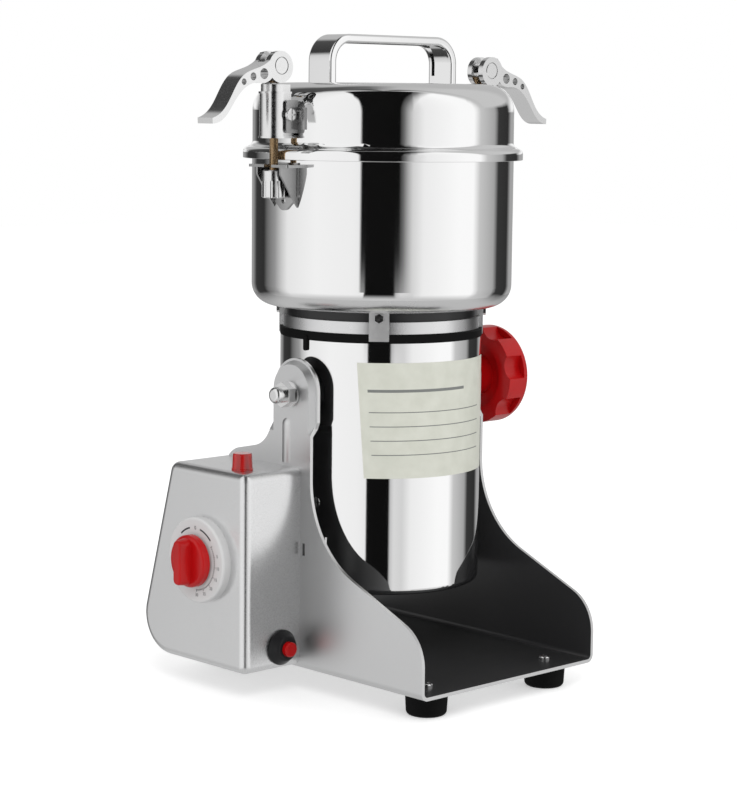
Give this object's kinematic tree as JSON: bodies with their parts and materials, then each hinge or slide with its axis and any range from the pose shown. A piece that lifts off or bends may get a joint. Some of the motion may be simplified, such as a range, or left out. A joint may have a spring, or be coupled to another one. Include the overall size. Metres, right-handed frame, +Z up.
{
  "type": "electric grain mill",
  "caption": "Tilting electric grain mill: clamped steel grinding bowl on a motor barrel, held between the side walls of a folded base with a side control box.",
  "frame": {"origin": "centre of the bottom of the overall box, on the floor under the feet", "axes": "+Z up, X along the tilt axis with the control box on -X and the tilt knob on +X, -Y towards the open front of the tray"},
  "size_m": [0.2642, 0.197, 0.37],
  "materials": {
    "silver_paint": "satin metallic grey paint, black inside the tray",
    "polished_steel": "mirror polished stainless steel",
    "satin_steel": "satin stainless steel",
    "bright_steel": "bright zinc plated steel",
    "dark_steel": "laminated or oiled steel",
    "cast_aluminium": "satin cast aluminium",
    "red_plastic": "glossy red plastic",
    "red_lens": "translucent red lens",
    "silver_plastic": "silver dial with plain numbers",
    "black_plastic": "black plastic",
    "black_rubber": "black rubber",
    "dark_paint": "black neck casting",
    "brass": "yellow plated thread",
    "copper": "enamelled copper winding or copper bar",
    "carbon": "carbon",
    "white_rubber": "pale silicone rubber"
  },
  "bodies": {
    "base": {"base_bracket": "silver_paint", "feet": "black_rubber", "foot_screws": "bright_steel", "ear_bushes": "black_plastic", "control_box": "silver_paint", "box_screws": "bright_steel", "timer_body": "black_plastic", "dial_plate": "silver_plastic", "indicator_lamp": "red_lens", "breaker_body": "black_plastic", "cable_gland": "black_plastic"},
    "mill": {"barrel_shell": "polished_steel", "barrel_edging": "black_rubber", "motor_frame": "cast_aluminium", "neck_collar": "dark_paint", "neck_straps": "satin_steel", "strap_bolts": "bright_steel", "pivot_studs": "bright_steel", "pivot_cap_nut": "bright_steel", "lower_motor_bracket": "cast_aluminium", "brush_holders": "black_plastic", "carbon_brushes": "carbon", "stator_core": "dark_steel", "field_coils": "copper", "motor_screws": "bright_steel", "upper_bearing": "bright_steel", "lower_bearing": "bright_steel", "bowl": "polished_steel", "shaft_seal": "black_rubber", "clamp_brackets": "bright_steel", "lid_shell": "polished_steel", "lid_inner_plate": "satin_steel", "lid_gasket": "white_rubber", "lid_handle": "polished_steel", "handle_screws": "bright_steel", "clamp_ears": "bright_steel", "clamp_pivot_screws": "bright_steel"},
    "timer_knob": {"timer_knob": "red_plastic"},
    "reset_button": {"reset_button": "red_plastic"},
    "tilt_knob": {"tilt_knob": "red_plastic"},
    "rotor": {"rotor_shaft": "bright_steel", "armature_core": "dark_steel", "armature_windings": "copper", "commutator": "copper", "cooling_fan": "black_plastic", "lower_blade": "satin_steel", "upper_blade": "satin_steel", "blade_spacers": "satin_steel", "blade_nut": "bright_steel"},
    "left_clamp_block": {"left_clamp_sleeve": "bright_steel", "left_clamp_collar": "bright_steel"},
    "left_clamp_rod": {"left_clamp_rod": "brass", "left_clamp_nut": "bright_steel"},
    "left_clamp_lever": {"left_clamp_lever": "cast_aluminium"},
    "right_clamp_block": {"right_clamp_sleeve": "bright_steel", "right_clamp_collar": "bright_steel"},
    "right_clamp_rod": {"right_clamp_rod": "brass", "right_clamp_nut": "bright_steel"},
    "right_clamp_lever": {"right_clamp_lever": "cast_aluminium"}
  },
  "joints": [
    {"name": "body_tilt", "type": "hinge", "parent": "base", "child": "mill", "pos_m": [0, 0.0085, 0.1698], "axis": [1, 0, 0], "range_deg": [0, 95]},
    {"name": "tilt_knob_turn", "type": "hinge", "parent": "mill", "child": "tilt_knob", "pos_m": [0.0791, 0.0085, 0.1698], "axis": [1, 0, 0], "range_deg": [0, 360]},
    {"name": "timer_turn", "type": "hinge", "parent": "base", "child": "timer_knob", "pos_m": [-0.1159, 0.0362, 0.0767], "axis": [1, 0, 0], "range_deg": [0, 300]},
    {"name": "reset_press", "type": "slide", "parent": "base", "child": "reset_button", "axis": [0, 1, 0], "range_m": [0, 0.003], "stiffness_N_per_m": 600, "springref_m": -0.0005},
    {"name": "rotor_spin", "type": "hinge", "parent": "mill", "child": "rotor", "pos_m": [0, 0.0085, 0.2167], "axis": [0, 0, 1], "continuous": true},
    {"name": "left_clamp_swing", "type": "hinge", "parent": "mill", "child": "left_clamp_block", "pos_m": [-0.08, 0.0085, 0.3251], "axis": [0, 1, 0], "range_deg": [0, 23]},
    {"name": "left_rod_drop", "type": "slide", "parent": "left_clamp_block", "child": "left_clamp_rod", "axis": [0, 0, -1], "range_m": [0, 0.0013]},
    {"name": "left_lever_turn", "type": "hinge", "parent": "left_clamp_rod", "child": "left_clamp_lever", "pos_m": [-0.0832, 0.0085, 0.3516], "axis": [0, 1, 0], "range_deg": [0, 110]},
    {"name": "right_clamp_swing", "type": "hinge", "parent": "mill", "child": "right_clamp_block", "pos_m": [0.08, 0.0085, 0.3251], "axis": [0, -1, 0], "range_deg": [0, 23]},
    {"name": "right_rod_drop", "type": "slide", "parent": "right_clamp_block", "child": "right_clamp_rod", "axis": [0, 0, -1], "range_m": [0, 0.0013]},
    {"name": "right_lever_turn", "type": "hinge", "parent": "right_clamp_rod", "child": "right_clamp_lever", "pos_m": [0.0832, 0.0085, 0.3516], "axis": [0, -1, 0], "range_deg": [0, 110]}
  ],
  "couplings": [
    {"joint": "left_rod_drop", "follows": "left_lever_turn", "m_per_rad": 0.00067706},
    {"joint": "right_rod_drop", "follows": "right_lever_turn", "m_per_rad": 0.00067706}
  ]
}
